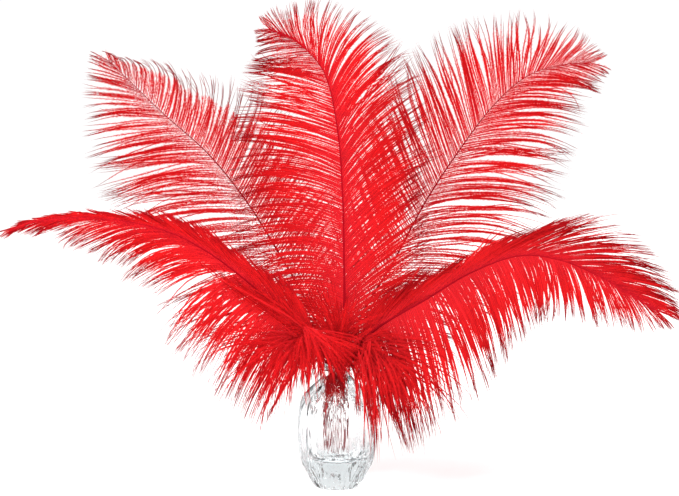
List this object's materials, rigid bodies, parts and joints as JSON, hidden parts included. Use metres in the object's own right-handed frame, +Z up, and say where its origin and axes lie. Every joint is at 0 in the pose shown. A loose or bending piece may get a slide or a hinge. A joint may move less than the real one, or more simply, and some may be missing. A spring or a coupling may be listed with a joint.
{
  "type": "ostrich feathers in a glass vase",
  "caption": "Dyed ostrich plumes with curling barbs standing in a small clear cut-glass bud vase, for a tabletop centrepiece.",
  "frame": {"origin": "centre of the vase's flat foot, on the surface that it stands on", "axes": "+Z up along the vase's axis, +X along the spread of the plumes, and the bouquet faces -Y"},
  "size_m": [0.5413, 0.1529, 0.4108],
  "materials": {
    "crystal": "clear cut and polished glass",
    "dyed_plume": "soft matte dyed barbs"
  },
  "bodies": {
    "root": {"vase": "crystal", "feather_low_left": "dyed_plume", "feather_high_left": "dyed_plume", "feather_center": "dyed_plume", "feather_high_right": "dyed_plume", "feather_low_right": "dyed_plume"}
  },
  "joints": []
}
